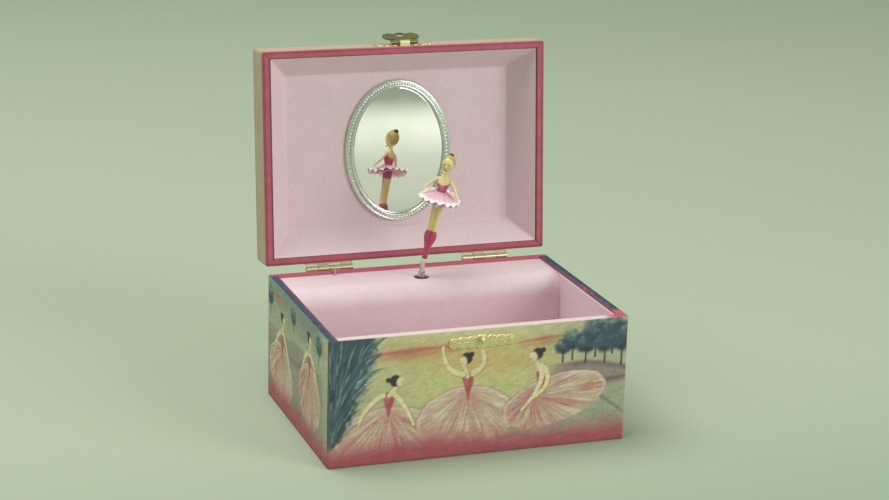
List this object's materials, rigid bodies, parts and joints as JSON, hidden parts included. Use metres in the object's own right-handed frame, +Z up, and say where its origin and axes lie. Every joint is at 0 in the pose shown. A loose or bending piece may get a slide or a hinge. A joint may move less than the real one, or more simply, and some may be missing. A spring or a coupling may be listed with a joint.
{
  "type": "wind-up music box",
  "caption": "Hinged paper-covered music box with a mirror lid, a jewellery compartment, a key-wound geared movement and a spring-mounted turning dancer.",
  "frame": {"origin": "middle of the underside of the base", "axes": "+Z up, -Y is the front with the catch, +X is the right-hand side seen from the front; the lid is open on its stop"},
  "size_m": [0.152, 0.146, 0.1811],
  "materials": {
    "board": "bare fibre board",
    "printed_paper": "printed, satin varnish",
    "bottom_paper": "matt",
    "pink_lining": "matt embossed paper over card",
    "gilt_metal": "stamped and gilt",
    "hinge_metal": "plated",
    "steel": "plain",
    "zinc_casting": "cast and plated",
    "gear_brass": "turned",
    "spring_steel": "blued",
    "mirror_glass": "silvered",
    "silver_frame": "pressed and plated",
    "figure_plastic": "moulded and painted",
    "tutu_net": "gathered net"
  },
  "bodies": {
    "base": {"base_front_panel": "board", "base_back_panel": "board", "base_left_panel": "board", "base_right_panel": "board", "base_bottom_panel": "board", "base_paper_wrap": "printed_paper", "base_bottom_cover": "bottom_paper", "compartment_liner": "pink_lining", "movement_platform": "pink_lining", "catch_plate": "gilt_metal", "catch_stud": "gilt_metal", "catch_brads": "gilt_metal", "hinge_base_leaf_left": "hinge_metal", "hinge_base_leaf_right": "hinge_metal", "hinge_pin_left": "steel", "hinge_pin_right": "steel", "hinge_base_brads": "hinge_metal", "movement_bedplate": "zinc_casting", "movement_screws": "steel", "comb": "steel", "comb_screws": "steel", "governor_frame": "gear_brass", "governor_screw": "steel", "barrel_bridge": "gear_brass", "bridge_screws": "steel", "clutch_spring": "spring_steel", "stop_guide": "gear_brass"},
    "lid": {"lid_front_panel": "board", "lid_back_panel": "board", "lid_left_panel": "board", "lid_right_panel": "board", "lid_top_panel": "board", "lid_paper_wrap": "printed_paper", "lid_liner": "pink_lining", "mirror_frame": "silver_frame", "mirror_glass": "mirror_glass", "hinge_lid_leaf_left": "hinge_metal", "hinge_lid_leaf_right": "hinge_metal", "hinge_lid_brads": "hinge_metal", "clasp_plate": "gilt_metal", "clasp_brads": "gilt_metal", "clasp_pin": "steel"},
    "flap": {"clasp_flap": "gilt_metal"},
    "key": {"winding_key": "gilt_metal", "winding_arbor": "steel"},
    "barrel": {"spring_barrel": "gear_brass", "mainspring": "spring_steel"},
    "cylinder": {"tune_cylinder": "gear_brass", "cylinder_arbor": "steel", "cylinder_wheel": "gear_brass"},
    "governor_wheel": {"governor_wheel": "gear_brass"},
    "governor_worm": {"governor_worm": "steel"},
    "spindle": {"dancer_spindle": "steel"},
    "dancer_spring": {"dancer_spring": "steel"},
    "dancer": {"dancer_figure": "figure_plastic", "dancer_tutu": "tutu_net"},
    "stop_wire": {"stop_wire": "steel"}
  },
  "joints": [
    {"name": "lid_hinge", "type": "hinge", "parent": "base", "child": "lid", "pos_m": [0, 0.058, 0.064], "axis": [-1, 0, 0], "range_deg": [-95, 0]},
    {"name": "flap_hinge", "type": "hinge", "parent": "lid", "child": "flap", "pos_m": [0, 0.0707, 0.17823], "axis": [-1, 0, 0], "range_deg": [-162, 0]},
    {"name": "key_turn", "type": "hinge", "parent": "base", "child": "key", "pos_m": [-0.012, 0.055, 0.0185], "axis": [0, 1, 0], "continuous": true},
    {"name": "cylinder_spin", "type": "hinge", "parent": "base", "child": "cylinder", "pos_m": [-0.012, 0.0355, 0.044], "axis": [0, 0, 1], "continuous": true},
    {"name": "barrel_spin", "type": "hinge", "parent": "base", "child": "barrel", "pos_m": [-0.012, 0.043, 0.0185], "axis": [0, 1, 0], "continuous": true},
    {"name": "governor_wheel_spin", "type": "hinge", "parent": "base", "child": "governor_wheel", "pos_m": [-0.0235, 0.0355, 0.0551], "axis": [0, 0, 1], "continuous": true},
    {"name": "governor_worm_spin", "type": "hinge", "parent": "base", "child": "governor_worm", "pos_m": [-0.0311, 0.0355, 0.0551], "axis": [0, 1, 0], "continuous": true},
    {"name": "spindle_spin", "type": "hinge", "parent": "base", "child": "spindle", "pos_m": [0, 0.0355, 0.058], "axis": [0, 0, 1], "continuous": true},
    {"name": "dancer_fold", "type": "hinge", "parent": "base", "child": "dancer_spring", "pos_m": [0, 0.0355, 0.067], "axis": [1, 0, 0], "range_deg": [0, 92.5], "deforming": ["dancer_spring"]},
    {"name": "dancer_spin", "type": "hinge", "parent": "dancer_spring", "child": "dancer", "pos_m": [0, 0.0355, 0.067], "axis": [0.2039, -0.0726, 0.9763], "continuous": true},
    {"name": "stop_slide", "type": "slide", "parent": "base", "child": "stop_wire", "axis": [0, 0, 1], "range_m": [-0.0013, 0]}
  ],
  "couplings": [
    {"joint": "dancer_fold", "follows": "lid_hinge", "ratio": -0.96842},
    {"joint": "stop_slide", "follows": "lid_hinge", "m_per_rad": 0.0007237},
    {"joint": "barrel_spin", "follows": "cylinder_spin", "ratio": -0.16667},
    {"joint": "governor_wheel_spin", "follows": "cylinder_spin", "ratio": -3.6},
    {"joint": "governor_worm_spin", "follows": "cylinder_spin", "ratio": -43.2},
    {"joint": "spindle_spin", "follows": "cylinder_spin", "ratio": -3},
    {"joint": "dancer_spin", "follows": "cylinder_spin", "ratio": -3}
  ]
}
